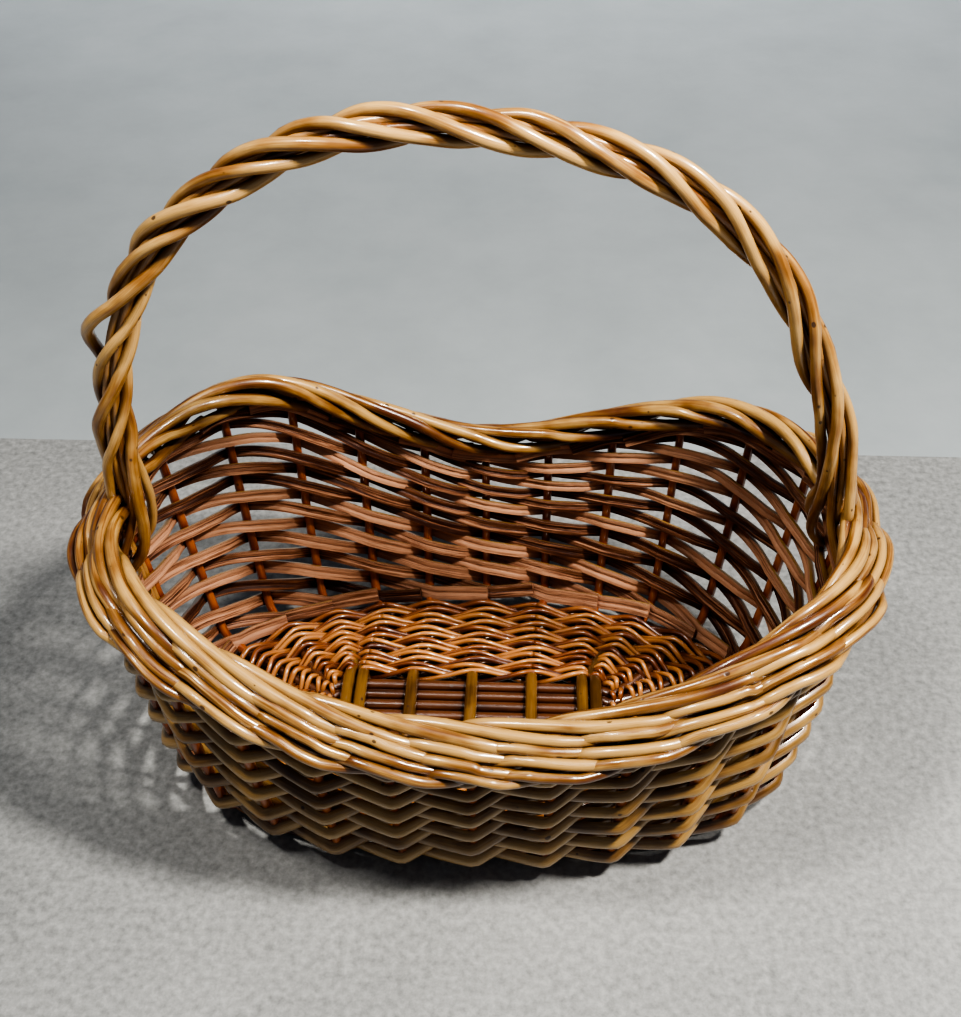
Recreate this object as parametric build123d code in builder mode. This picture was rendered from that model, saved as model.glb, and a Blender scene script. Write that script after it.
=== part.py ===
from build123d import *
import math
import os

# Oval market basket of woven willow with a fixed arched handle.
#
# Frame: X along the basket's length, Y across it, Z up. The origin is on the ground
# under the middle of the basket. All lengths are in millimetres.

# Driving dimensions of the oval outlines, measured to the line of the side stakes
STAKE_COUNT = 26
RIM_A, RIM_B, RIM_POWER = 183.5, 113.7, 2.33
FOOT_A, FOOT_B, FOOT_POWER = 155.0, 86.3, 2.58
FLARE_POWER = 0.51

# Height of the middle of the border: low on the long sides, high at the two ends
RIM_HEIGHT_MEAN = 148.2
RIM_HEIGHT_ENDS = 18.8
RIM_HEIGHT_QUARTERS = -6.2
# Hand-made unevenness of the far side: height, angle and spread of each rise and of the dip
RIM_SWELLS = [(18.0, 2.18, 0.36), (8.0, 0.98, 0.36), (-5.5, 1.56, 0.16)]

# Base
STICK_LEVEL = 9.0
STICK_DIAMETER = 5.6
LONG_STICK_COUNT = 6
LONG_STICK_SPACING = 7.3
LONG_STICK_STRAIGHT = 78.0
CENTRE_PANEL_X = -6.0
CROSS_STICK_X = [-70.4, -62.8, -34.0, 0.0, 34.0, 62.8, 70.4]
CROSS_STICK_STRAIGHT = 25.0
CROSS_STICK_WIDTH = 6.9
CROSS_STICK_DEPTH = 12.0
STICK_END_A, STICK_END_B = 143.0, 74.5
BASE_ROW_COUNT = 8
BASE_ROW_ROD_DIAMETER = 3.2
BASE_ROW_SWING = STICK_DIAMETER / 2 + BASE_ROW_ROD_DIAMETER / 2 + 0.1

# Foot: two rounds of rods under the turned stakes, worn flat where they stand
FOOT_ROD_DIAMETER = 5.6
FOOT_WEAR = 0.7
FOOT_INNER_INSET = 9.0

# Side stakes
STAKE_DIAMETER = 5.0
STAKE_TOP_BELOW_RIM = 4.2

# Side weave: every row passes outside one stake and inside the next
ROW_COUNT = 14
FIRST_ROW_HEIGHT = 9.6
TOP_ROW_BELOW_RIM = 13.6
WEAVER_WIDTH = 6.4
WEAVER_THICKNESS = 3.2
WEAVER_SWING = STAKE_DIAMETER / 2 + WEAVER_THICKNESS / 2 + 0.25

# Border: four rolled strands laid side by side, from the inner top to the outer bottom
BORDER_ROD_DIAMETER = 5.6
BORDER_LEAN = math.radians(36)
BORDER_PITCH = 6.9
BORDER_CROWN = 1.5

# Handle
HANDLE_POINTS = [(-163.0, 62.0), (-166.0, 112.0), (-168.5, 160.0), (-166.5, 215.0), (-153.5, 266.0),
                 (-127.0, 310.0), (-76.0, 346.0), (-20.0, 358.5), (45.0, 349.5), (91.0, 328.0),
                 (126.0, 291.0), (148.0, 246.0), (162.5, 208.0), (168.0, 160.0), (166.0, 112.0),
                 (163.0, 62.0)]
HANDLE_CORE_DIAMETER = 4.0
HANDLE_WRAP_COUNT = 4
HANDLE_WRAP_DIAMETER = 5.0
HANDLE_WRAP_TURNS = 5.5
HANDLE_WRAP_START = 0.19
HANDLE_WRAP_END = 0.81
HANDLE_WRAP_STEPS = 56


def superellipse(half_length, half_width, power, turn):
    """Point on an oval with full ends, where turn is the angle round it."""
    cos, sin = math.cos(turn), math.sin(turn)
    x = half_length * math.copysign(abs(cos) ** (2 / power), cos)
    y = half_width * math.copysign(abs(sin) ** (2 / power), sin)
    return x, y


def rim_height(turn):
    """Height of the middle of the border above the ground."""
    turn = turn % (2 * math.pi)
    swell = sum(size * math.exp(-((turn - place) / spread) ** 2) for size, place, spread in RIM_SWELLS)
    return (RIM_HEIGHT_MEAN + RIM_HEIGHT_ENDS * math.cos(2 * turn)
            + RIM_HEIGHT_QUARTERS * math.cos(4 * turn) + swell)


def wall_point(turn, height):
    """Point on the line of the stakes at one height, on the curved flaring wall."""
    share = min(1.0, max(0.0, height / rim_height(turn)))
    flare = share ** FLARE_POWER
    x, y = superellipse(FOOT_A + (RIM_A - FOOT_A) * flare,
                        FOOT_B + (RIM_B - FOOT_B) * flare,
                        FOOT_POWER + (RIM_POWER - FOOT_POWER) * flare, turn)
    return Vector(x, y, height)


def even_turns(count, shift):
    """Angles that space points evenly along the wall at half height."""
    steps = 2880
    lengths = [0.0]
    points = [wall_point(2 * math.pi * i / steps, RIM_HEIGHT_MEAN / 2) for i in range(steps + 1)]
    for before, after in zip(points, points[1:]):
        lengths.append(lengths[-1] + (after - before).length)
    turns = []
    step = 0
    for k in range(count):
        target = lengths[-1] * (k + shift) / count
        while lengths[step + 1] < target:
            step += 1
        part = (target - lengths[step]) / (lengths[step + 1] - lengths[step])
        turns.append(2 * math.pi * (step + part) / steps)
    return turns


STAKE_TURNS = even_turns(STAKE_COUNT, 0.5)


def wall_plane(turn, height):
    """Plane across the wall's run: x points out of the basket, z runs round it."""
    small = 0.01
    origin = wall_point(turn, height)
    along = (wall_point(turn + small, height) - wall_point(turn - small, height)).normalized()
    up = (wall_point(turn, height + 1) - wall_point(turn, height - 1)).normalized()
    return Plane(origin=origin, x_dir=along.cross(up), z_dir=along)


def across(route):
    """Plane square to the start of a route."""
    return Plane(origin=route.wire() @ 0, z_dir=route.wire() % 0)


def half_rings(count):
    """Index runs of the two halves of a ring of sections, which share their end sections."""
    half = count // 2
    return [range(0, half + 1), range(half, count + 1)]


def save(part, name):
    """Label a finished piece and write it to its file."""
    part.label = name
    export_step(part, f"parts/{name}.step")


def stick_offset(index):
    """Sideways place of one long stick."""
    return (index - (LONG_STICK_COUNT - 1) / 2) * LONG_STICK_SPACING


def stick_arms():
    """Start and end of the arm of the base that leads to each stake, in the stakes' order."""
    ends_per_side = len(CROSS_STICK_X)
    half_long = LONG_STICK_COUNT // 2
    right = [(LONG_STICK_STRAIGHT, stick_offset(i)) for i in range(LONG_STICK_COUNT)]
    left = [(-x, -y) for x, y in right]
    back = [(CROSS_STICK_X[ends_per_side - 1 - i], CROSS_STICK_STRAIGHT) for i in range(ends_per_side)]
    front = [(-x, -y) for x, y in back]
    starts = right[half_long:] + back + left + front + right[:half_long]
    ends = [superellipse(STICK_END_A, STICK_END_B, FOOT_POWER, turn) for turn in STAKE_TURNS]
    return [(Vector(x + CENTRE_PANEL_X, y, STICK_LEVEL), Vector(*end, STICK_LEVEL))
            for (x, y), end in zip(starts, ends)]


def make_stick(first_arm, second_arm, pierced, name):
    """Stick of the base: straight in the middle, with an arm fanning out at each end."""
    with BuildPart() as stick:
        with BuildLine() as route:
            Polyline(first_arm[1], first_arm[0], second_arm[0], second_arm[1])
        with BuildSketch(across(route)):
            Circle(STICK_DIAMETER / 2)
        sweep(transition=Transition.RIGHT)
        if pierced:
            x = first_arm[0].X
            with BuildSketch(Plane.YZ.offset(x - CROSS_STICK_WIDTH / 2)):
                with Locations((0, STICK_LEVEL)):
                    Ellipse(CROSS_STICK_STRAIGHT + STICK_DIAMETER, CROSS_STICK_DEPTH / 2)
            extrude(amount=CROSS_STICK_WIDTH)
            with BuildSketch(Plane.YZ.offset(x - CROSS_STICK_WIDTH)):
                with Locations(*[(stick_offset(i), STICK_LEVEL) for i in range(LONG_STICK_COUNT)]):
                    Circle(STICK_DIAMETER / 2 + 0.1)
            extrude(amount=2 * CROSS_STICK_WIDTH, mode=Mode.SUBTRACT)
    save(stick.part, name)


def make_base_sticks(arms):
    """Long sticks side by side, and cross sticks split open for them to pass through."""
    side_count = len(CROSS_STICK_X)
    half_long = LONG_STICK_COUNT // 2
    long_right = [(i - half_long) % STAKE_COUNT for i in range(LONG_STICK_COUNT)]
    for number, right in enumerate(long_right):
        left = (STAKE_COUNT // 2 - 1 - right) % STAKE_COUNT
        make_stick(arms[right], arms[left], False, f"base_long_stick_{number + 1}")
    for number in range(side_count):
        back = half_long + side_count - 1 - number
        front = STAKE_COUNT - 1 - back
        make_stick(arms[back], arms[front], True, f"base_cross_stick_{number + 1}")


def make_base_row(arms, index):
    """Round of the base weave: over one arm and under the next."""
    share = (index + 0.6) / BASE_ROW_COUNT
    points = [start + (end - start) * share for start, end in arms]
    with BuildPart() as base_row:
        for run in half_rings(STAKE_COUNT):
            for k in run:
                here = k % STAKE_COUNT
                along = points[(here + 1) % STAKE_COUNT] - points[here - 1]
                side = 1 if (here + index) % 2 else -1
                centre = points[here] + Vector(0, 0, side * BASE_ROW_SWING)
                with BuildSketch(Plane(origin=centre, x_dir=(0, 0, 1), z_dir=along)):
                    Circle(BASE_ROW_ROD_DIAMETER / 2)
            loft(ruled=True)
    save(base_row.part, f"base_weave_{index + 1}")


def closed_ring_planes(half_length, half_width, power, height):
    """Planes across an oval ring, two to each stake; height gives the level at one turn."""
    planes = []
    for k in range(2 * STAKE_COUNT):
        turn = math.pi * k / STAKE_COUNT
        near = [Vector(*superellipse(half_length, half_width, power, turn + step), height(turn + step))
                for step in (-0.02, 0.0, 0.02)]
        planes.append(Plane(origin=near[1], x_dir=(0, 0, 1), z_dir=near[2] - near[0]))
    return planes


def make_foot(name, inset):
    """Round of rod under the turned stakes, with a flat worn on its underside."""
    planes = closed_ring_planes(FOOT_A - inset, FOOT_B - inset, FOOT_POWER,
                                lambda turn: FOOT_ROD_DIAMETER / 2 - FOOT_WEAR)
    with BuildPart() as foot:
        for run in half_rings(len(planes)):
            for k in run:
                with BuildSketch(planes[k % len(planes)]):
                    Circle(FOOT_ROD_DIAMETER / 2)
            loft(ruled=True)
        split(bisect_by=Plane.XY, keep=Keep.TOP)
    save(foot.part, name)


def make_side_stakes():
    """The stakes: they leave the base lying flat, turn up and lean out to the border."""
    with BuildPart() as side_stakes:
        for turn in STAKE_TURNS:
            top = rim_height(turn) - STAKE_TOP_BELOW_RIM
            x, y = superellipse(STICK_END_A + 0.5, STICK_END_B + 0.5, FOOT_POWER, turn)
            inner = Vector(x, y, STICK_LEVEL)
            heights = [0.09 * top, 0.2 * top, 0.45 * top, 0.7 * top, top]
            with BuildLine() as route:
                Polyline(inner, *[wall_point(turn, height) for height in heights])
            with BuildSketch(across(route)):
                Circle(STAKE_DIAMETER / 2)
            sweep(transition=Transition.RIGHT)
    save(side_stakes.part, "side_stakes")


def make_side_row(index):
    """Row of the side weave: outside one stake and inside the next."""
    planes = []
    for k, turn in enumerate(STAKE_TURNS):
        top = rim_height(turn) - TOP_ROW_BELOW_RIM
        height = FIRST_ROW_HEIGHT + (top - FIRST_ROW_HEIGHT) * index / (ROW_COUNT - 1)
        side = 1 if (k + index) % 2 else -1
        plane = wall_plane(turn, height)
        planes.append(plane.shift_origin(plane.origin + plane.x_dir * side * WEAVER_SWING))
    with BuildPart() as side_row:
        for run in half_rings(STAKE_COUNT):
            for k in run:
                with BuildSketch(planes[k % STAKE_COUNT]):
                    Rectangle(WEAVER_THICKNESS, WEAVER_WIDTH)
            loft(ruled=True)
    save(side_row.part, f"side_weave_{index + 1:02d}")


def make_border_strand(index, name):
    """Strand of the rolled border, following the waved rim."""
    along_lean = (1.5 - index) * BORDER_PITCH
    crown = BORDER_CROWN if index in (1, 2) else 0.0
    out = -along_lean * math.cos(BORDER_LEAN) + crown * math.sin(BORDER_LEAN)
    up = along_lean * math.sin(BORDER_LEAN) + crown * math.cos(BORDER_LEAN)
    planes = closed_ring_planes(RIM_A + out, RIM_B + out, RIM_POWER, lambda turn: rim_height(turn) + up)
    with BuildPart() as border_strand:
        for run in half_rings(len(planes)):
            for k in run:
                with BuildSketch(planes[k % len(planes)]):
                    Circle(BORDER_ROD_DIAMETER / 2)
            loft(ruled=True)
    save(border_strand.part, name)


def handle_line():
    """Middle line of the handle, from the left foot over the arch to the right foot."""
    with BuildLine() as line:
        Spline(*[Vector(x, 0, z) for x, z in HANDLE_POINTS])
    return line.wire()


def offset_from_handle(line, share, radius, angle):
    """Point beside the handle's middle line; angle 0 is on the outside of the arch."""
    along = line % share
    outward = Vector(-along.Z, 0, along.X).normalized()
    return line @ share + outward * radius * math.cos(angle) + Vector(0, -1, 0) * radius * math.sin(angle)


def make_handle_core(line):
    """Three straight rods bundled in the middle of the handle, pushed down inside both ends."""
    radius = HANDLE_CORE_DIAMETER / math.sqrt(3) + 0.08
    for rod in range(3):
        angle = 2 * math.pi * rod / 3
        with BuildPart() as core_rod:
            with BuildLine() as route:
                Polyline(*[offset_from_handle(line, k / 24, radius, angle) for k in range(25)])
            with BuildSketch(across(route)):
                Circle(HANDLE_CORE_DIAMETER / 2)
            sweep(transition=Transition.RIGHT)
        save(core_rod.part, f"handle_core_rod_{rod + 1}")


def make_handle_wraps(line):
    """Four rods wound round the core from foot to foot."""
    radius = HANDLE_CORE_DIAMETER * (0.5 + 1 / math.sqrt(3)) + HANDLE_WRAP_DIAMETER / 2 + 0.4
    for rod in range(HANDLE_WRAP_COUNT):
        points = []
        for k in range(HANDLE_WRAP_STEPS + 1):
            share = HANDLE_WRAP_START + (HANDLE_WRAP_END - HANDLE_WRAP_START) * k / HANDLE_WRAP_STEPS
            angle = 2 * math.pi * (rod / HANDLE_WRAP_COUNT + HANDLE_WRAP_TURNS * k / HANDLE_WRAP_STEPS)
            points.append(offset_from_handle(line, share, radius, angle))
        with BuildPart() as wrap:
            with BuildLine() as route:
                Polyline(*points)
            with BuildSketch(across(route)):
                Circle(HANDLE_WRAP_DIAMETER / 2)
            sweep(transition=Transition.RIGHT)
        save(wrap.part, f"handle_wrap_{rod + 1}")


def main():
    os.makedirs("parts", exist_ok=True)
    arms = stick_arms()
    make_base_sticks(arms)
    for index in range(BASE_ROW_COUNT):
        make_base_row(arms, index)
    make_foot("foot_round_outer", 0.0)
    make_foot("foot_round_inner", FOOT_INNER_INSET)
    make_side_stakes()
    for index in range(ROW_COUNT):
        make_side_row(index)
    for index, name in enumerate(("border_inner", "border_top", "border_outer", "border_lower")):
        make_border_strand(index, name)
    line = handle_line()
    make_handle_core(line)
    make_handle_wraps(line)


main()
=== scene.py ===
"""Looks of the woven willow market basket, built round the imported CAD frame. Metres, Z up."""
import math

import bpy
import numpy as np
from mathutils import Matrix, Vector


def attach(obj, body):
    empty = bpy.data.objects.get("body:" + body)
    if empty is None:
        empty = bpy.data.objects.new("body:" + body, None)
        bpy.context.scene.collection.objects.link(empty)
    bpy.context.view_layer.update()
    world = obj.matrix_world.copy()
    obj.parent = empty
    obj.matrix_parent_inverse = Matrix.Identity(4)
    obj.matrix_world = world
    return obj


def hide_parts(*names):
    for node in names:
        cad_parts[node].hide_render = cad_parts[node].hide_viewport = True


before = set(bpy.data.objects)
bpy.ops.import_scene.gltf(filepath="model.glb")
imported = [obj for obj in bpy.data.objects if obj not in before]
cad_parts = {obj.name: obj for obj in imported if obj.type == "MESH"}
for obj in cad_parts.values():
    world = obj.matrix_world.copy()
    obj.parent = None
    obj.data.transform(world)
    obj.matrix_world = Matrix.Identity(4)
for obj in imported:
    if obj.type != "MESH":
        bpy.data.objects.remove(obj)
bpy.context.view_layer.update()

MM = 0.001
SPLIT_GRAIN_WIDTH = 22.0  # millimetres of grain laid round a split rod
TAU = 2 * math.pi
SEED = 41
rng = np.random.default_rng(SEED)

# ---------------------------------------------------------------- shape of the basket, in millimetres
# The two outlines are measured to the line of the side stakes.
STAKE_COUNT = 26
RIM_A, RIM_B, RIM_POWER = 183.5, 113.7, 2.33
FOOT_A, FOOT_B, FOOT_POWER = 155.0, 86.3, 2.58
FLARE_POWER = 0.51
RIM_HEIGHT_MEAN, RIM_HEIGHT_ENDS, RIM_HEIGHT_QUARTERS = 148.2, 18.8, -6.2
# Hand-made unevenness of the far side: height, angle and spread of each rise and of the dip
RIM_SWELLS = [(18.0, 2.18, 0.36), (8.0, 0.98, 0.36), (-5.5, 1.56, 0.16)]
STICK_LEVEL = 9.0
LONG_STICK_COUNT, LONG_STICK_SPACING, LONG_STICK_STRAIGHT = 6, 7.3, 78.0
CENTRE_PANEL_X = -6.0
CROSS_STICK_X = [-70.4, -62.8, -34.0, 0.0, 34.0, 62.8, 70.4]
CROSS_STICK_STRAIGHT = 25.0
STICK_END_A, STICK_END_B, STICK_END_POWER = 149.0, 80.5, 2.45
BASE_ROW_COUNT, BASE_PAIR_COUNT = 8, 12
FOOT_PAIR_INSETS, FOOT_PAIR_LEVEL, FOOT_PAIR_RADIUS = (0.0, 8.5), 2.9, 1.65
ROUND_COUNT = 14
FIRST_ROW_HEIGHT, TOP_ROW_BELOW_RIM = 11.4, 12.6
BORDER_LEAN = math.radians(36)
HANDLE_POINTS = [(-163.0, 62.0), (-166.0, 112.0), (-168.5, 160.0), (-166.5, 215.0), (-153.5, 266.0),
                 (-127.0, 310.0), (-76.0, 346.0), (-20.0, 358.5), (45.0, 349.5), (91.0, 328.0),
                 (126.0, 291.0), (148.0, 246.0), (162.5, 208.0), (168.0, 160.0), (166.0, 112.0),
                 (163.0, 62.0)]


def superellipse(half_length, half_width, power, turn):
    """Points on an oval with full ends; turn may be an array."""
    cos, sin = np.cos(turn), np.sin(turn)
    x = half_length * np.copysign(np.abs(cos) ** (2 / power), cos)
    y = half_width * np.copysign(np.abs(sin) ** (2 / power), sin)
    return x, y


def rim_height(turn):
    """Height of the middle of the border above the ground."""
    turn = np.mod(turn, TAU)
    swell = sum(size * np.exp(-((turn - place) / spread) ** 2) for size, place, spread in RIM_SWELLS)
    return (RIM_HEIGHT_MEAN + RIM_HEIGHT_ENDS * np.cos(2 * turn)
            + RIM_HEIGHT_QUARTERS * np.cos(4 * turn) + swell)


def wall_points(turn, height):
    """Points on the line of the stakes, on the curved flaring wall."""
    share = np.clip(height / rim_height(turn), 0.0, 1.15)
    flare = share ** FLARE_POWER
    x, y = superellipse(FOOT_A + (RIM_A - FOOT_A) * flare, FOOT_B + (RIM_B - FOOT_B) * flare,
                        FOOT_POWER + (RIM_POWER - FOOT_POWER) * flare, turn)
    return np.stack([x, y, height + 0 * turn], -1)


def unit(vectors):
    return vectors / np.linalg.norm(vectors, axis=-1, keepdims=True)


def wall_axes(turn, height):
    """Outward, along and up directions of the wall."""
    along = unit(wall_points(turn + 0.01, height) - wall_points(turn - 0.01, height))
    up = unit(wall_points(turn, height + 1.0) - wall_points(turn, height - 1.0))
    out = unit(np.cross(along, up))
    return out, along, np.cross(out, along)


FINE = np.linspace(0, TAU, 2881)
FINE_POINTS = wall_points(FINE, RIM_HEIGHT_MEAN / 2 + 0 * FINE)
FINE_LENGTH = np.concatenate([[0], np.cumsum(np.linalg.norm(np.diff(FINE_POINTS, axis=0), axis=1))])


def turn_at(stake):
    """Angle round the basket at a place counted in stakes, which may be fractional."""
    laps = np.floor(np.asarray(stake, float) / STAKE_COUNT)
    part = np.asarray(stake, float) / STAKE_COUNT - laps
    return np.interp(part * FINE_LENGTH[-1], FINE_LENGTH, FINE) + laps * TAU


def stake_turn(index):
    """Angle of a stake; the stakes stand half a space away from the handle's plane."""
    return turn_at(np.asarray(index, float) + 0.5)


# ---------------------------------------------------------------- curves and meshes
def smooth_curve(points, steps):
    """Catmull-Rom curve through the given points, with this many steps in each span."""
    p = np.asarray(points, float)
    p = np.vstack([2 * p[0] - p[1], p, 2 * p[-1] - p[-2]])
    t = np.linspace(0, 1, steps, endpoint=False)[:, None]
    spans = []
    for a, b, c, d in zip(p[:-3], p[1:-2], p[2:-1], p[3:]):
        spans.append(0.5 * (2 * b + (c - a) * t + (2 * a - 5 * b + 4 * c - d) * t ** 2
                            + (3 * b - a - 3 * c + d) * t ** 3))
    return np.vstack(spans + [p[-2][None]])


def wobble(count, waves, size):
    """Smooth random wave along a rod."""
    t = np.linspace(0, 1, count)
    total = np.zeros(count)
    for k in range(1, 4):
        total += rng.normal() / k * np.sin(TAU * (waves * k * t + rng.random()))
    return size * total


def rotation_free_frames(points, first_normal):
    """Normals carried along a line without twisting."""
    tangents = unit(np.gradient(points, axis=0))
    normals = np.empty_like(points)
    n = np.asarray(first_normal, float)
    for i, t in enumerate(tangents):
        n = n - t * n.dot(t)
        n = n / np.linalg.norm(n)
        normals[i] = n
    return tangents, normals, np.cross(tangents, normals)


def build_object(name, vertices, faces, face_slots, grain, tone, materials, sharp=None):
    """Mesh object from arrays; grain and tone are UV pairs for each vertex."""
    mesh = bpy.data.meshes.new(name)
    mesh.from_pydata((np.asarray(vertices) * MM).tolist(), [], faces)
    mesh.polygons.foreach_set("material_index", face_slots)
    loops = np.empty(len(mesh.loops), int)
    mesh.loops.foreach_get("vertex_index", loops)
    for layer_name, values in (("grain", grain), ("tone", tone)):
        layer = mesh.uv_layers.new(name=layer_name)
        layer.data.foreach_set("uv", np.asarray(values)[loops].ravel())
    for material in materials:
        mesh.materials.append(material)
    mesh.shade_smooth()
    if sharp:
        mesh.set_sharp_from_angle(angle=math.radians(sharp))
    mesh.update()
    piece = bpy.data.objects.new(name, mesh)
    bpy.context.scene.collection.objects.link(piece)
    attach(piece, "root")
    return piece


class Rods:
    """Collects swept rods and turns them into one object."""

    def __init__(self):
        self.vertices, self.faces, self.slots, self.grain, self.tone = [], [], [], [], []
        self.count = 0

    def sweep(self, points, across, upward, outline, outline_slots, tone, seam_scale):
        """Sweeps a closed outline, given for every ring, along a line; slot 1 closes both ends."""
        rings, sides = outline.shape[:2]
        place = (points[:, None] + across[:, None] * outline[..., :1] + upward[:, None] * outline[..., 1:])
        length = np.concatenate([[0], np.cumsum(np.linalg.norm(np.diff(points, axis=0), axis=1))])
        around = np.linspace(0, 1, sides, endpoint=False)
        shift = rng.random(2) * 50
        grain = np.stack([np.repeat(length[:, None] * MM, sides, 1) + shift[0],
                          np.repeat((around * seam_scale * MM)[None], rings, 0) + shift[1]], -1)
        share = np.repeat((length / length[-1])[:, None], sides, 1)
        tones = np.stack([np.full_like(share, tone), share], -1)
        start = self.count
        self.vertices.append(place.reshape(-1, 3))
        self.grain.append(grain.reshape(-1, 2))
        self.tone.append(tones.reshape(-1, 2))
        for i in range(rings - 1):
            a = start + i * sides
            for j in range(sides):
                k = (j + 1) % sides
                self.faces.append((a + j, a + k, a + sides + k, a + sides + j))
                self.slots.append(outline_slots[j])
        self.faces.append(tuple(start + j for j in reversed(range(sides))))
        self.faces.append(tuple(start + (rings - 1) * sides + j for j in range(sides)))
        self.slots += [1, 1]
        self.count += rings * sides

    def round_rod(self, points, radii, tone, sides=12, first_normal=(0.3, 0.2, 1.0), flat=1.0):
        """Round rod with slight swellings at its knots."""
        points = np.asarray(points, float)
        radii = np.broadcast_to(np.asarray(radii, float), (len(points),)).copy()
        tangents, normals, binormals = rotation_free_frames(points, first_normal)
        length = np.concatenate([[0], np.cumsum(np.linalg.norm(np.diff(points, axis=0), axis=1))])
        angles = np.linspace(0, TAU, sides, endpoint=False)
        radius = np.repeat(radii[:, None], sides, 1)
        radius *= 1 + wobble(len(points), length[-1] / 40, 0.012)[:, None]
        radius *= 1 + 0.02 * np.sin(2 * angles + rng.random() * TAU)[None]
        spot = rng.random() * 25
        while spot < length[-1]:
            near = np.cos(angles - rng.random() * TAU)
            bump = np.exp(-((length - spot) / 2.0) ** 2)[:, None] * np.exp((near - 1) * 5)[None]
            radius += bump * 0.10 * radii.mean()
            spot += rng.uniform(22, 60)
        outline = np.stack([radius * np.cos(angles), radius * flat * np.sin(angles)], -1)
        self.sweep(points, normals, binormals, outline, [0] * sides, tone, TAU * radii.mean())

    def split_rod(self, points, out, width, thickness, tone):
        """Split rod: round skin outside, flat split face with its pith groove inside."""
        tangents = unit(np.gradient(points, axis=0))
        out = unit(out - tangents * np.sum(out * tangents, -1, keepdims=True))
        up = np.cross(out, tangents)
        arc = np.linspace(0, math.pi, 9)
        skin = np.stack([np.sin(arc), np.cos(arc)], -1)
        flat_places = np.array([-0.36, -0.14, -0.05, 0.05, 0.14, 0.36])
        flat_depths = np.array([0.0, 0.0, 0.11, 0.11, 0.0, 0.0])
        rings = len(points)
        outline = np.zeros((rings, 15, 2))
        outline[:, :9, 0] = skin[None, :, 0] * thickness[:, None]
        outline[:, :9, 1] = skin[None, :, 1] * width[:, None] / 2
        ragged = rng.normal(0, 0.05, (rings, 6)) + wobble(rings, 9, 0.05)[:, None]
        ragged[:, [0, 5]] *= 0.4
        outline[:, 9:, 0] = flat_depths[None] * thickness[:, None] + ragged
        outline[:, 9:, 1] = flat_places[None] * width[:, None]
        self.sweep(points, out, up, outline, [0] * 8 + [1] * 7, tone, SPLIT_GRAIN_WIDTH)

    def finish(self, name, materials, sharp=None):
        piece = build_object(name, np.vstack(self.vertices), self.faces, self.slots,
                             np.vstack(self.grain), np.vstack(self.tone), materials, sharp)
        return piece


# ---------------------------------------------------------------- materials
WILLOW_ROUGHNESS = 0.33
WILLOW_CREVICE, SPLIT_CREVICE = 0.008, 0.010  # metres over which painted shade darkens the colour where crowded rods come close


def add(tree, kind, **settings):
    node = tree.nodes.new("ShaderNode" + kind)
    for key, value in settings.items():
        if key in node.inputs:
            node.inputs[key].default_value = value
        else:
            setattr(node, key, value)
    return node


def uv_place(tree, layer, scale):
    source = add(tree, "UVMap", uv_map=layer)
    mapping = add(tree, "Mapping")
    mapping.inputs["Scale"].default_value = scale
    tree.links.new(source.outputs[0], mapping.inputs["Vector"])
    return mapping.outputs[0]


def noise(tree, vector, scale, detail=4.0, rough=0.55):
    node = add(tree, "TexNoise")
    node.inputs["Scale"].default_value = scale
    node.inputs["Detail"].default_value = detail
    node.inputs["Roughness"].default_value = rough
    tree.links.new(vector, node.inputs["Vector"])
    return node.outputs["Fac"]


def ramp(tree, value, stops):
    node = add(tree, "ValToRGB")
    band = node.color_ramp
    while len(band.elements) < len(stops):
        band.elements.new(0.5)
    for element, (position, colour) in zip(band.elements, stops):
        element.position = position
        element.color = (*colour, 1.0)
    tree.links.new(value, node.inputs["Fac"])
    return node.outputs["Color"]


def mix(tree, blend, factor, first, second):
    node = add(tree, "Mix", data_type="RGBA", blend_type=blend, clamp_factor=True)
    for socket, value in ((node.inputs[0], factor), (node.inputs[6], first), (node.inputs[7], second)):
        if isinstance(value, (int, float)):
            socket.default_value = value
        elif isinstance(value, tuple):
            socket.default_value = (*value, 1.0)
        else:
            tree.links.new(value, socket)
    return node.outputs[2]


def math_node(tree, operation, first, second=0.0, third=0.0, clamp=False):
    node = add(tree, "Math", operation=operation, use_clamp=clamp)
    for socket, value in zip(node.inputs, (first, second, third)):
        if isinstance(value, (int, float)):
            socket.default_value = value
        else:
            tree.links.new(value, socket)
    return node.outputs[0]


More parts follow.
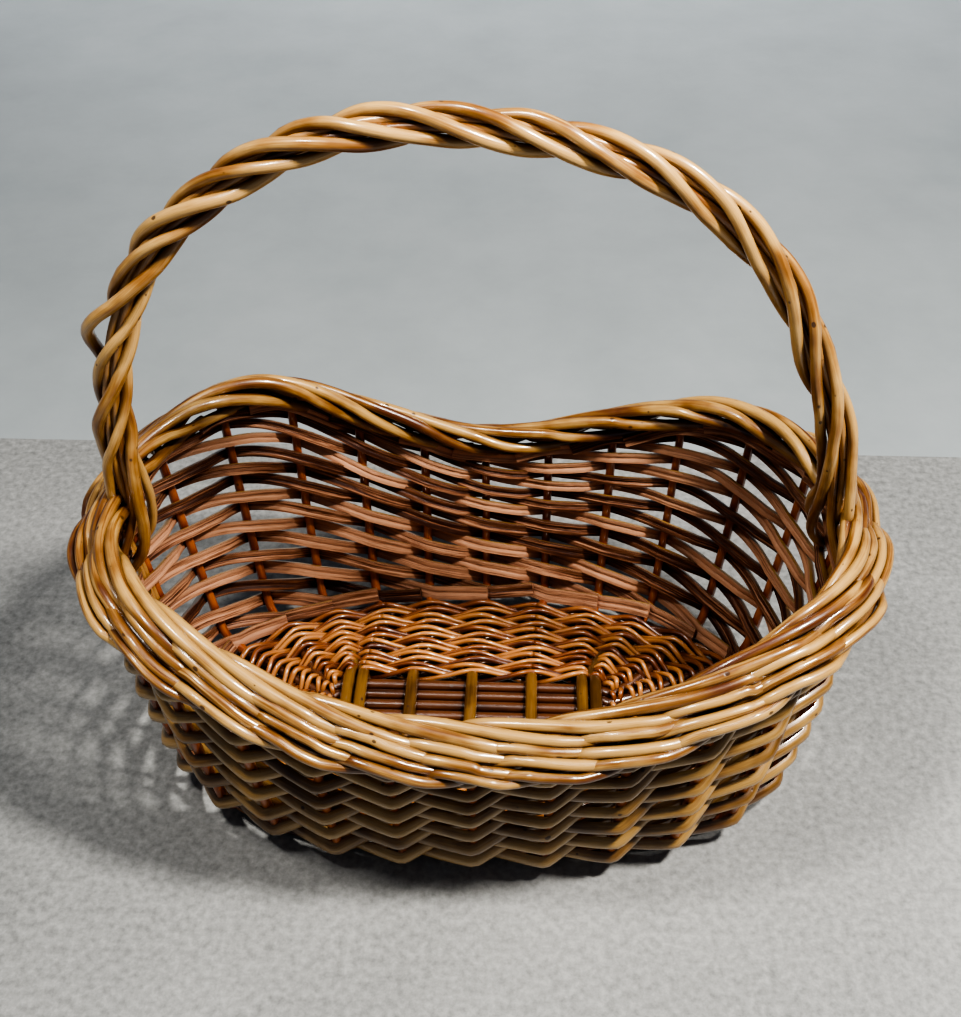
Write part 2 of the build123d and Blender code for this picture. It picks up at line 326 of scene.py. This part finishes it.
def willow(name, pale, middle, deep, shade, speck_share=0.09, crevice_share=1.0):
    """Varnished round willow: mottled along the rod, fine streaks, dark leaf scars and a painted red shade
    where the rods crowd together, laid on by ambient occlusion."""
    material = bpy.data.materials.new(name)
    material.use_nodes = True
    tree = material.node_tree
    shader = tree.nodes["Principled BSDF"]
    streaks = noise(tree, uv_place(tree, "grain", (22, 900, 1)), 1.0, 5.0, 0.6)
    mottle = noise(tree, uv_place(tree, "grain", (28, 60, 1)), 1.0, 3.0, 0.5)
    tone_uv = add(tree, "UVMap", uv_map="tone")
    parts = add(tree, "SeparateXYZ")
    tree.links.new(tone_uv.outputs[0], parts.inputs[0])
    place = math_node(tree, "MULTIPLY_ADD", mottle, 2.3, -0.95)
    place = math_node(tree, "MULTIPLY_ADD", parts.outputs[0], 0.66, place)
    place = math_node(tree, "ADD", place, -0.20)
    place = math_node(tree, "MULTIPLY_ADD", streaks, 0.75, place, clamp=True)
    colour = ramp(tree, place, [(0.12, deep), (0.48, middle), (0.86, pale)])
    fine = noise(tree, uv_place(tree, "grain", (90, 3000, 1)), 1.0, 3.0, 0.6)
    hairlines = ramp(tree, fine, [(0.30, (0.62, 0.52, 0.42)), (0.62, (1.0, 1.0, 1.0))])
    colour = mix(tree, "MULTIPLY", 0.65, colour, hairlines)
    cells = add(tree, "TexVoronoi")
    cells.inputs["Scale"].default_value = 1.0
    tree.links.new(uv_place(tree, "grain", (190, 260, 1)), cells.inputs["Vector"])
    chosen = add(tree, "SeparateXYZ")
    tree.links.new(cells.outputs["Color"], chosen.inputs[0])
    rare = math_node(tree, "LESS_THAN", chosen.outputs[0], speck_share)
    size = math_node(tree, "MULTIPLY_ADD", chosen.outputs[1], 0.24, 0.06)
    inside = math_node(tree, "SUBTRACT", size, cells.outputs["Distance"])
    speck = math_node(tree, "MULTIPLY", math_node(tree, "MULTIPLY", inside, 14.0, clamp=True), rare)
    colour = mix(tree, "MIX", math_node(tree, "MULTIPLY", speck, 0.85), colour, (0.045, 0.018, 0.008))
    # Painted shade: the colour is darkened towards the shade colour wherever ambient occlusion finds rods
    # close by.
    occlusion = add(tree, "AmbientOcclusion", samples=6)
    occlusion.inputs["Distance"].default_value = WILLOW_CREVICE
    closed = math_node(tree, "SUBTRACT", 1.0, occlusion.outputs["AO"])
    closed = math_node(tree, "MULTIPLY", closed, crevice_share, clamp=True)
    colour = mix(tree, "MULTIPLY", closed, colour, shade)
    tree.links.new(colour, shader.inputs["Base Color"])
    rough = math_node(tree, "MULTIPLY_ADD", streaks, 0.22, WILLOW_ROUGHNESS - 0.11)
    tree.links.new(rough, shader.inputs["Roughness"])
    shader.inputs["Coat Weight"].default_value = 0.8
    shader.inputs["Coat Roughness"].default_value = 0.13
    height = math_node(tree, "MULTIPLY_ADD", fine, 0.35, streaks)
    height = math_node(tree, "MULTIPLY_ADD", speck, -0.9, height)
    bump = add(tree, "Bump")
    bump.inputs["Strength"].default_value = 0.35
    bump.inputs["Distance"].default_value = 0.00035
    tree.links.new(height, bump.inputs["Height"])
    tree.links.new(bump.outputs[0], shader.inputs["Normal"])
    return material


def split_face(name, pale, middle, deep):
    """Torn inner face of a split rod, or a cut end: long fibres with dark hollows between them."""
    material = bpy.data.materials.new(name)
    material.use_nodes = True
    tree = material.node_tree
    shader = tree.nodes["Principled BSDF"]
    lines = noise(tree, uv_place(tree, "grain", (14, 620, 1)), 1.0, 3.0, 0.55)
    hairs = noise(tree, uv_place(tree, "grain", (70, 2600, 1)), 1.0, 5.0, 0.7)
    fibres = math_node(tree, "MULTIPLY_ADD", lines, 0.62, math_node(tree, "MULTIPLY", hairs, 0.38))
    mottle = noise(tree, uv_place(tree, "grain", (30, 120, 1)), 1.0, 3.0, 0.5)
    tone_uv = add(tree, "UVMap", uv_map="tone")
    parts = add(tree, "SeparateXYZ")
    tree.links.new(tone_uv.outputs[0], parts.inputs[0])
    place = math_node(tree, "MULTIPLY_ADD", fibres, 4.4, -2.36)
    place = math_node(tree, "MULTIPLY_ADD", mottle, 1.0, place)
    place = math_node(tree, "ADD", place, -0.26)
    place = math_node(tree, "MULTIPLY_ADD", parts.outputs[0], 1.2, place, clamp=True)
    colour = ramp(tree, place, [(0.10, deep), (0.45, middle), (0.9, pale)])
    # Painted shade: the colour is darkened towards dark red-brown wherever ambient occlusion finds rods close
    # by.
    occlusion = add(tree, "AmbientOcclusion", samples=6)
    occlusion.inputs["Distance"].default_value = SPLIT_CREVICE
    closed = math_node(tree, "SUBTRACT", 1.0, occlusion.outputs["AO"])
    closed = math_node(tree, "MULTIPLY", closed, 0.9, clamp=True)
    colour = mix(tree, "MULTIPLY", closed, colour, (0.20, 0.05, 0.02))
    tree.links.new(colour, shader.inputs["Base Color"])
    rough = math_node(tree, "MULTIPLY_ADD", fibres, 0.3, 0.30)
    tree.links.new(rough, shader.inputs["Roughness"])
    bump = add(tree, "Bump")
    bump.inputs["Strength"].default_value = 0.8
    bump.inputs["Distance"].default_value = 0.0009
    tree.links.new(fibres, bump.inputs["Height"])
    tree.links.new(bump.outputs[0], shader.inputs["Normal"])
    return material


# Each willow has a pale, a middle and a deep colour, and the colour of the painted shade that darkens its
# crevices.
SKIN = willow("buff_willow", (0.52, 0.315, 0.105), (0.25, 0.112, 0.026), (0.105, 0.029, 0.006),
              (0.12, 0.02, 0.004), speck_share=0.20)
HANDLE_SKIN = willow("handle_willow", (0.62, 0.38, 0.135), (0.34, 0.160, 0.038), (0.14, 0.043, 0.008),
                     (0.12, 0.02, 0.004), speck_share=0.20)
CORE_SKIN = willow("core_willow", (0.48, 0.26, 0.085), (0.28, 0.120, 0.030), (0.13, 0.042, 0.008),
                   (0.38, 0.15, 0.06), crevice_share=0.45)
SPLIT_SKIN = willow("split_willow_skin", (0.44, 0.265, 0.085), (0.24, 0.125, 0.032), (0.11, 0.046, 0.010),
                    (0.22, 0.06, 0.015))
STAKE_SKIN = willow("stake_willow", (0.52, 0.15, 0.028), (0.33, 0.078, 0.013), (0.16, 0.032, 0.006),
                    (0.35, 0.09, 0.03))
THIN_SKIN = willow("thin_willow", (0.55, 0.235, 0.070), (0.26, 0.075, 0.015), (0.09, 0.021, 0.005),
                   (0.12, 0.022, 0.006))
# The base sticks have their own brown, darkened further with painted shadow lying over the middle of the
# base.
STICK_SKIN = willow("stick_willow", (0.19, 0.095, 0.022), (0.09, 0.040, 0.008), (0.04, 0.016, 0.003),
                    (0.25, 0.09, 0.03))
LONG_SKIN = willow("long_stick_willow", (0.13, 0.045, 0.014), (0.062, 0.019, 0.006), (0.03, 0.009, 0.003),
                   (0.25, 0.08, 0.03))
TORN = split_face("split_willow_face", (0.60, 0.31, 0.175), (0.20, 0.073, 0.031), (0.040, 0.011, 0.005))
CUT = split_face("cut_end", (0.56, 0.36, 0.20), (0.36, 0.18, 0.08), (0.16, 0.06, 0.025))


# ---------------------------------------------------------------- base
def stick_offset(index):
    return (index - (LONG_STICK_COUNT - 1) / 2) * LONG_STICK_SPACING


def stick_arms():
    """Start and end of the arm of the base that leads to each stake."""
    sides = len(CROSS_STICK_X)
    half_long = LONG_STICK_COUNT // 2
    right = [(LONG_STICK_STRAIGHT, stick_offset(i)) for i in range(LONG_STICK_COUNT)]
    left = [(-x, -y) for x, y in right]
    back = [(CROSS_STICK_X[sides - 1 - i], CROSS_STICK_STRAIGHT) for i in range(sides)]
    front = [(-x, -y) for x, y in back]
    starts = np.array(right[half_long:] + back + left + front + right[:half_long])
    starts[:, 0] += CENTRE_PANEL_X
    ends = superellipse(STICK_END_A, STICK_END_B, STICK_END_POWER, stake_turn(np.arange(STAKE_COUNT)))
    return starts, np.stack(ends, -1)


ARM_STARTS, ARM_ENDS = stick_arms()


def make_long_stick(number, right, left):
    """Long stick: straight under the cross sticks, then bent out to one arm at each end."""
    rods = Rods()
    level = STICK_LEVEL + rng.normal(0, 0.12)
    line = [ARM_ENDS[right], ARM_STARTS[right] + [6, 0], ARM_STARTS[right] - [16, 0],
            ARM_STARTS[left] + [16, 0], ARM_STARTS[left] - [6, 0], ARM_ENDS[left]]
    points = smooth_curve([(x, y, level) for x, y in line], 16)
    taper = np.interp(np.abs(points[:, 0]), [70, 140], [3.15, 2.4])
    rods.round_rod(points, taper, rng.random())
    piece = rods.finish(f"base_long_rod_{number}", [LONG_SKIN, CUT])
    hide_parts(f"base_long_stick_{number}")


def make_cross_stick(number, back, front):
    """Split stick: its two halves close round the long sticks and meet again beyond them."""
    rods = Rods()
    tone = rng.random()
    beyond, before = [1.0, 1.45], [1.0, 0.6]
    line = [ARM_ENDS[back], ARM_STARTS[back] * beyond, ARM_STARTS[back], ARM_STARTS[back] * before,
            ARM_STARTS[front] * before, ARM_STARTS[front], ARM_STARTS[front] * beyond, ARM_ENDS[front]]
    flat = smooth_curve([(x, y, 0.0) for x, y in line], 12)
    reach = np.abs(flat[:, 1])
    for side in (1, -1):
        lift = np.interp(reach, [0, 19, 31, 40], [5.2, 4.9, 1.2, 0.7])
        points = flat + np.stack([0 * lift, 0 * lift, STICK_LEVEL + side * lift], -1)
        width = np.interp(reach, [0, 25, 40, 75], [3.5, 3.4, 2.9, 2.4])
        rods.round_rod(points, width, tone, first_normal=(1, 0, 0), flat=0.8)
    piece = rods.finish(f"base_cross_rod_{number}", [STICK_SKIN, CUT])
    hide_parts(f"base_cross_stick_{number}")


def make_base_row(index):
    """Pair of thin rods twisted between the arms, so that one of the two passes over every arm."""
    rods = Rods()
    share = ((index + 0.45) / (BASE_PAIR_COUNT - 0.55)) ** 1.10
    steps = 12
    place = np.arange(STAKE_COUNT * steps + 1) / steps
    corners = ARM_STARTS + (ARM_ENDS - ARM_STARTS) * share
    ring = np.vstack([corners, corners[:1]])
    spread = np.linspace(0, STAKE_COUNT, STAKE_COUNT + 1)
    flat = np.stack([np.interp(place, spread, ring[:, 0]), np.interp(place, spread, ring[:, 1])], -1)
    outward = unit(np.stack([flat[:, 0] / STICK_END_A ** 2, flat[:, 1] / STICK_END_B ** 2], -1))
    for side in (0, 1):
        phase = math.pi * (place + side + index)
        wave = np.cos(phase)
        lift = STICK_LEVEL + 4.9 * np.sign(wave) * np.abs(wave) ** 1.25
        slip = 1.15 * np.sin(phase) * (1 if index % 2 else -1)
        lift += wobble(len(place), 12, 0.15)
        flat_moved = flat + outward * (slip + wobble(len(place), 9, 0.22))[:, None]
        points = np.column_stack([flat_moved, lift])
        cut = 5 + side * 3
        points = np.roll(points[:-1], -cut * steps, axis=0)
        points = np.vstack([points, points[:1]])
        rods.round_rod(points, rng.uniform(1.45, 1.70) + 0.012 * index, rng.random(), sides=8)
    piece = rods.finish(f"base_pair_{index + 1:02d}", [THIN_SKIN, CUT])
    node = min(BASE_ROW_COUNT, 1 + index * BASE_ROW_COUNT // BASE_PAIR_COUNT)
    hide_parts(f"base_weave_{node}")


def make_foot_round(name, node, inset):
    """Two thin rods twisted together under the turned stakes."""
    rods = Rods()
    level, radius = FOOT_PAIR_LEVEL, FOOT_PAIR_RADIUS
    place = np.linspace(0, STAKE_COUNT, STAKE_COUNT * 8 + 1)
    turn = stake_turn(place)
    x, y = superellipse(FOOT_A - inset, FOOT_B - inset, FOOT_POWER, turn)
    outward = unit(np.stack([x / FOOT_A ** 2, y / FOOT_B ** 2], -1))
    for side in (0, 1):
        phase = math.pi * (place + side)
        move = outward * (radius * 1.02 * np.cos(phase))[:, None]
        points = np.column_stack([np.stack([x, y], -1) + move, level + radius * 0.75 * np.sin(phase)])
        rods.round_rod(points, radius, rng.random(), sides=8)
    piece = rods.finish(name, [THIN_SKIN, CUT])
    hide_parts(node)


# ---------------------------------------------------------------- sides
def make_side_stakes():
    """Stakes start between the base arms, turn up at the foot and run to the border."""
    for index in range(STAKE_COUNT):
        turn = float(stake_turn(index))
        top = float(rim_height(turn)) - 7.0
        lean = rng.normal(0, 0.006)
        inner = superellipse(STICK_END_A - 14, STICK_END_B - 12, STICK_END_POWER, turn)
        turned = superellipse(STICK_END_A + 0.5, STICK_END_B + 0.5, FOOT_POWER, turn)
        inner = np.array([*inner, STICK_LEVEL - 1.2])
        turned = np.array([*turned, STICK_LEVEL - 1.4])
        heights = np.array([0.10, 0.24, 0.45, 0.70, 0.88, 1.0]) * top
        wall = wall_points(turn + lean * np.linspace(0, 1, 6), heights)
        points = smooth_curve(np.vstack([inner, turned, wall]), 8)
        rods = Rods()
        radii = np.linspace(2.75, 2.5, len(points)) * rng.uniform(0.94, 1.05)
        rods.round_rod(points, radii, rng.random())
        piece = rods.finish(f"side_stake_{index + 1:02d}", [STAKE_SKIN, CUT])
        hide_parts("side_stakes")


FINE_PLACE = np.linspace(-4, 20, 2401)
FINE_WAVE = np.interp(np.mod(FINE_PLACE, 2), [0, 1, 1.42, 1.7, 2], [-1, 1, -0.62, -0.9, -1])
FINE_WAVE = np.convolve(FINE_WAVE, np.hanning(17) / np.hanning(17).sum(), "same")


def over_under(place):
    """1 outside a stake and -1 inside the next; a rod comes in quickly and goes out slowly."""
    return np.interp(place, FINE_PLACE, FINE_WAVE)


def make_side_weavers():
    """One split rod starts inside each stake and climbs a half round at every stake it passes."""
    steps = 16
    for index in range(STAKE_COUNT):
        start, end = -rng.uniform(0.75, 1.2), ROUND_COUNT + rng.uniform(0.25, 0.85)
        place = np.linspace(start, end, int((end - start) * steps))
        turn = stake_turn(index + place)
        level = np.clip(place, -0.1, ROUND_COUNT + 0.2) / ROUND_COUNT
        level = level * (1.22 - 0.22 * level) + wobble(len(place), 3, 0.006)
        top = rim_height(turn) - TOP_ROW_BELOW_RIM
        before, after = np.clip(-place, 0, 1), np.clip(place - ROUND_COUNT, 0, 1)
        wave = over_under(place)
        wave = np.where(place < 0, -1 - rng.uniform(0.7, 1.4) * before, wave)
        wave = np.where(place > ROUND_COUNT, -1 - rng.uniform(0.1, 0.8) * after, wave)
        height = FIRST_ROW_HEIGHT + (top - FIRST_ROW_HEIGHT) * level - 1.3 * np.clip(wave, -1, 1)
        height = height + rng.uniform(-1.0, 6.5) * before - rng.uniform(0.0, 5.0) * after
        out, along, up = wall_axes(turn, height)
        offset = -1.95 + 4.9 * wave + wobble(len(place), 6, 0.15)
        points = wall_points(turn, height) + out * offset[:, None]
        width = np.interp(place, [start, 2, 8, end], [9.4, 8.2, 6.9, 5.9]) * rng.uniform(0.88, 1.08)
        thickness = np.linspace(4.4, 3.6, len(place)) * rng.uniform(0.92, 1.10)
        rods = Rods()
        rods.split_rod(points, out, width, thickness, rng.random())
        piece = rods.finish(f"side_weaver_{index + 1:02d}", [SPLIT_SKIN, TORN], sharp=42)
        row = index % ROUND_COUNT + 1
        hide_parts(f"side_weave_{row:02d}")


# ---------------------------------------------------------------- border
# Keys of a border rod: place along the rim in stakes, place across the band towards its inner top edge,
# and height over the band
BAND_ROUTE = [(-1.75, -7.2, -9.6), (-1.4, -4.2, -10.2), (-1.0, 1.0, -10.2), (-0.6, 6.4, -8.8),
              (-0.25, 10.2, -6.2), (0.05, 12.2, -3.0), (0.45, 12.3, -0.2), (1.0, 10.3, 1.6), (1.5, 7.5, 2.4),
              (1.95, 4.8, 2.0), (2.2, 3.3, 0.7), (2.4, 2.2, -1.2), (2.6, 1.5, -3.2), (2.78, 1.3, -4.6)]
# Keys of one lane, where the rod comes up between two others, and of the last lane, where it is tucked in
LANE_ROUTE = [(-0.28, 1.1, -4.8), (-0.04, 2.0, -3.6), (0.15, 2.6, -1.6), (0.33, 2.6, 0.4), (0.58, 1.5, 1.9),
              (0.85, -0.2, 2.1), (1.06, -1.6, 1.3), (1.26, -2.7, -0.4), (1.46, -3.5, -2.5),
              (1.64, -4.2, -4.3)]
TUCK_ROUTE = [(-0.28, 1.1, -4.8), (-0.04, 2.0, -3.6), (0.15, 2.6, -1.6), (0.33, 2.6, 0.4), (0.58, 1.5, 1.9),
              (0.85, -0.3, 1.8), (1.05, -1.4, 0.3), (1.22, -1.3, -2.2), (1.4, -0.6, -5.4), (1.6, 0.6, -9.0)]
# Where each lane starts along the rim, in stakes, and its middle across the band
LANE_STARTS = [(3.1, 0.7), (5.2, -5.6), (7.3, -11.6)]


def make_border():
    """Each stake bends over and is worked forward and outward round the rim in a rolled border."""
    route = list(BAND_ROUTE)
    for start, centre in LANE_STARTS:
        lane = TUCK_ROUTE if start == LANE_STARTS[-1][0] else LANE_ROUTE
        route += [(start + u, centre + q, d) for u, q, d in lane]
    route = np.array(route)
    route = route[np.argsort(route[:, 0])]
    names = ("border_inner", "border_top", "border_outer", "border_lower")
    for index in range(STAKE_COUNT):
        keys = route.copy()
        keys[1:, 0] += rng.normal(0, 0.02, len(keys) - 1) + rng.normal(0, 0.07)
        keys[1:, 1] += rng.normal(0, 0.12, len(keys) - 1) + wobble(len(keys) - 1, 3, 0.30)
        keys[1:, 2] += rng.normal(0, 0.10, len(keys) - 1) + wobble(len(keys) - 1, 3, 0.22)
        keys = keys[np.argsort(keys[:, 0])]
        line = smooth_curve(keys, 7)
        turn = stake_turn(index + line[:, 0])
        middle = wall_points(turn, rim_height(turn))
        x_axis, along, up = wall_axes(turn, rim_height(turn))
        out = x_axis * [1, 1, 0]
        out = unit(out)
        level = -line[:, 1] * math.cos(BORDER_LEAN) + line[:, 2] * math.sin(BORDER_LEAN)
        rise = line[:, 1] * math.sin(BORDER_LEAN) + line[:, 2] * math.cos(BORDER_LEAN)
        points = middle + out * level[:, None] + np.array([0, 0, 1.0]) * rise[:, None]
        radii = np.linspace(3.15, 2.35, len(points)) * rng.uniform(0.90, 1.08)
        rods = Rods()
        rods.round_rod(points, radii, rng.random(), sides=14)
        piece = rods.finish(f"border_rod_{index + 1:02d}", [SKIN, CUT])
        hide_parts(names[index % 4])


# ---------------------------------------------------------------- handle
# Distance of a wrap's middle from the handle's line, the place of the loose loop along the handle, and
# how far the loop stands off
WRAP_REACH, LOOSE_PLACE, LOOSE_REACH = 6.2, 196.0, 7.0
HANDLE_LINE = smooth_curve([(x, 0.0, z) for x, z in HANDLE_POINTS], 24)
HANDLE_LENGTH = np.concatenate([[0], np.cumsum(np.linalg.norm(np.diff(HANDLE_LINE, axis=0), axis=1))])


def handle_frame(distance):
    """Point, outward direction and front direction of the handle at distances from the left foot."""
    point = np.stack([np.interp(distance, HANDLE_LENGTH, HANDLE_LINE[:, k]) for k in range(3)], -1)
    ahead = np.stack([np.interp(distance + 2, HANDLE_LENGTH, HANDLE_LINE[:, k]) for k in range(3)], -1)
    behind = np.stack([np.interp(distance - 2, HANDLE_LENGTH, HANDLE_LINE[:, k]) for k in range(3)], -1)
    along = unit(ahead - behind)
    outward = np.stack([-along[:, 2], 0 * along[:, 0], along[:, 0]], -1)
    return point, outward, np.broadcast_to([0.0, -1.0, 0.0], point.shape)


def foot_share(distance):
    """0 along the bow of the handle, growing to 1 where its rods part above each foot."""
    total = HANDLE_LENGTH[-1]
    return np.clip(np.maximum(120 - distance, distance - (total - 120)) / 60, 0, 1)


def make_handle_core():
    """Straight rods inside the handle; below the border they run down beside the two end stakes."""
    total = HANDLE_LENGTH[-1]
    sideways = (13.2, -13.4, 9.0)
    for rod in range(3):
        distance = np.linspace(0, total, 300)
        point, outward, front = handle_frame(distance)
        angle = TAU * rod / 3 + 0.5 * np.sin(distance / 95 + rod)
        bow = point + outward * (2.4 * np.cos(angle))[:, None] + front * (2.4 * np.sin(angle))[:, None]
        height = point[:, 2]
        side = np.sign(point[:, 0])
        turn = np.where(side > 0, 0.0, math.pi)
        beside = wall_points(turn, height)
        beside[:, 0] -= side * (0.8 + np.clip((height - 128) / 34, 0, 1) * 12.0)
        beside[:, 1] = sideways[rod] * np.interp(height, [62, 105, 150, 190], [1.0, 1.0, 0.55, 0.2])
        share = foot_share(distance)
        share = (share * share * (3 - 2 * share))[:, None]
        points = bow * (1 - share) + beside * share
        rods = Rods()
        rods.round_rod(points, 2.2 + wobble(300, 3, 0.06), rng.random())
        piece = rods.finish(f"handle_core_{rod + 1}", [CORE_SKIN, CUT])
        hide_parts(f"handle_core_rod_{rod + 1}")


def foot_tail(point, side, angle, reach):
    """Way down from the last turn of a wrap: outer wraps go into the border, inner ones into the wall."""
    outer, front = math.cos(angle), math.sin(angle)
    if outer > 0.35:
        steps = [(169.0 + 7.0 * outer, -8.0 * front, 176.0), (170.5 + 6.5 * outer, -8.5 * front + 0.5, 164.0),
                 (177.0, -8.0 * front + 1.0, 152.0), (180.0, -7.0 * front + 1.5, 140.0)]
    else:
        steps = [(165.5 + 4.0 * outer, -9.0 * front + reach * 0.25, 172.0),
                 (165.5 + 3.0 * outer, -11.0 * front + reach * 0.55, 152.0),
                 (169.0 + 2.0 * outer, -12.0 * front + reach * 0.85, 134.0),
                 (176.5, -12.0 * front + reach, 120.0)]
    return [(side * x, y, z) for x, y, z in steps]


def make_handle_wraps():
    """Four rods twisted round the core; the one nearest to the loose place stands off in a loop."""
    total = HANDLE_LENGTH[-1]
    grid = np.linspace(0, total, 600)
    pitch = np.interp(grid, [100, 260, 420, 560, total - 100], [118, 112, 114, 140, 190])
    angle_grid = np.concatenate([[0], np.cumsum(np.diff(grid) / pitch[:-1])]) * TAU
    for rod in range(4):
        first, last = 122.0 + 3 * rod, total - 122.0 - 3 * rod
        distance = np.linspace(first, last, 260)
        point, outward, front = handle_frame(distance)
        angle = np.interp(distance, grid, angle_grid) + TAU * rod / 4 + 0.35 + wobble(260, 4, 0.13)
        radius = WRAP_REACH + wobble(260, 5, 0.35)
        radius = radius + np.interp(distance, [first, 190, total - 190, last], [1.2, 0, 0, 1.2])
        outer_turns = distance[np.cos(angle) > 0.995]
        nearest = outer_turns[np.argmin(np.abs(outer_turns - LOOSE_PLACE))]
        if abs(nearest - LOOSE_PLACE) < 14:
            radius += LOOSE_REACH * np.exp(-((distance - nearest) / 17) ** 2)
        points = point + outward * (radius * np.cos(angle))[:, None]
        points = points + front * (radius * np.sin(angle))[:, None]
        left = foot_tail(points[0], -1, angle[0], 6.0)
        right = foot_tail(points[-1], 1, angle[-1], 30.0)
        keys = np.vstack([left[::-1], points[4:-4:6], right])
        line = smooth_curve(keys, 6)
        rods = Rods()
        ends = (2.95, 2.35) if rod % 2 else (2.4, 2.95)
        radii = np.linspace(*ends, len(line)) * rng.uniform(0.97, 1.04)
        rods.round_rod(line, radii, rng.random(), sides=14)
        piece = rods.finish(f"handle_wrap_rod_{rod + 1}", [HANDLE_SKIN, CUT])
        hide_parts(f"handle_wrap_{rod + 1}")


# ---------------------------------------------------------------- stage
def plain_surface(name, dark, light, scale):
    material = bpy.data.materials.new(name)
    material.use_nodes = True
    tree = material.node_tree
    shader = tree.nodes["Principled BSDF"]
    place = add(tree, "TexCoord")
    grain = noise(tree, place.outputs["Object"], scale, 6.0, 0.65)
    cloud = noise(tree, place.outputs["Object"], 5.0, 3.0, 0.5)
    mixed = math_node(tree, "MULTIPLY_ADD", cloud, 0.35, math_node(tree, "MULTIPLY", grain, 0.65))
    tree.links.new(ramp(tree, mixed, [(0.36, dark), (0.62, light)]), shader.inputs["Base Color"])
    shader.inputs["Roughness"].default_value = 0.6
    return material


def make_stage():
    """Plain floor in two tones: speckled under the basket and smooth behind it."""
    near = plain_surface("floor_grey", (0.16, 0.162, 0.156), (0.33, 0.33, 0.318), 230.0)
    far = plain_surface("floor_smooth_grey", (0.29, 0.315, 0.32), (0.34, 0.365, 0.37), 9.0)
    half, seam, front, back = 3.0, 0.245, -2.6, 3.2
    for name, low, high, material in (("floor_near", front, seam, near), ("floor_far", seam, back, far)):
        mesh = bpy.data.meshes.new(name)
        corners = [(-half, low, 0), (half, low, 0), (half, high, 0), (-half, high, 0)]
        mesh.from_pydata(corners, [], [(0, 1, 2, 3)])
        mesh.materials.append(material)
        piece = bpy.data.objects.new(name, mesh)
        bpy.context.scene.collection.objects.link(piece)


def add_area_light(name, place, target, size, power, colour, spread):
    data = bpy.data.lights.new(name, "AREA")
    data.shape = "RECTANGLE"
    data.size, data.size_y = size
    data.energy = power
    data.color = colour
    data.spread = math.radians(spread)
    lamp = bpy.data.objects.new(name, data)
    lamp.location = place
    lamp.rotation_euler = (Vector(target) - Vector(place)).to_track_quat("-Z", "Y").to_euler()
    bpy.context.scene.collection.objects.link(lamp)


WARM, NEUTRAL, COOL = (1.0, 0.97, 0.92), (0.97, 0.98, 1.0), (0.70, 0.82, 1.0)
# Name, place, target, size, power, colour and spread in degrees
LAMPS = [("lamp_left", (-0.32, -0.24, 1.15), (0, 0, 0.05), (0.12, 0.12), 7, WARM, 180),
         ("lamp_right", (0.55, -0.24, 1.15), (0, 0, 0.05), (0.12, 0.12), 23, WARM, 180),
         ("lamp_back", (0, 1.4, 1.25), (0, 1.4, 0), (1.8, 0.5), 7, NEUTRAL, 80),
         ("lamp_front", (0, -1.5, 1.4), (0, -1.5, 0), (2.2, 0.6), 9, NEUTRAL, 80),
         ("fill", (0.2, -1.5, 0.9), (0, 0, 0.1), (1.4, 1.0), 0.3, COOL, 180)]


def make_lights():
    for lamp in LAMPS:
        add_area_light(*lamp)
    world = bpy.context.scene.world or bpy.data.worlds.new("world")
    bpy.context.scene.world = world
    world.use_nodes = True
    world.node_tree.nodes["Background"].inputs[0].default_value = (0.72, 0.82, 1.0, 1.0)
    world.node_tree.nodes["Background"].inputs[1].default_value = 0.15
    bpy.context.scene.view_settings.look = "AgX - High Contrast"


FOCAL_LENGTH, IMAGE_WIDTH = 1250, 961  # both in pixels of the photograph's frame


def make_camera():
    """Same viewing angle as the photograph: in front, above and a little to the right."""
    place = Vector((0.02103, -0.44365, 0.5668))
    pitch, yaw, roll = math.radians(42.21), math.radians(2.62), math.radians(-0.53)
    forward = Vector((-math.sin(yaw) * math.cos(pitch), math.cos(yaw) * math.cos(pitch), -math.sin(pitch)))
    right = Vector((math.cos(yaw), math.sin(yaw), 0.0))
    up = right.cross(forward)
    right, up = right * math.cos(roll) + up * math.sin(roll), up * math.cos(roll) - right * math.sin(roll)
    data = bpy.data.cameras.new("camera")
    data.sensor_fit = "HORIZONTAL"
    data.sensor_width = 36.0
    data.lens = data.sensor_width * FOCAL_LENGTH / IMAGE_WIDTH
    camera = bpy.data.objects.new("camera", data)
    camera.matrix_world = Matrix((
        (right.x, up.x, -forward.x, place.x),
        (right.y, up.y, -forward.y, place.y),
        (right.z, up.z, -forward.z, place.z),
        (0, 0, 0, 1)))
    bpy.context.scene.collection.objects.link(camera)
    bpy.context.scene.camera = camera


make_camera()
make_lights()
make_stage()
half_long = LONG_STICK_COUNT // 2
for number in range(LONG_STICK_COUNT):
    right_arm = (number - half_long) % STAKE_COUNT
    make_long_stick(number + 1, right_arm, (STAKE_COUNT // 2 - 1 - right_arm) % STAKE_COUNT)
for number in range(len(CROSS_STICK_X)):
    back_arm = half_long + len(CROSS_STICK_X) - 1 - number
    make_cross_stick(number + 1, back_arm, STAKE_COUNT - 1 - back_arm)
for number in range(BASE_PAIR_COUNT):
    make_base_row(number)
make_foot_round("foot_pair_outer", "foot_round_outer", FOOT_PAIR_INSETS[0])
make_foot_round("foot_pair_inner", "foot_round_inner", FOOT_PAIR_INSETS[1])
make_side_stakes()
make_side_weavers()
make_border()
make_handle_core()
make_handle_wraps()
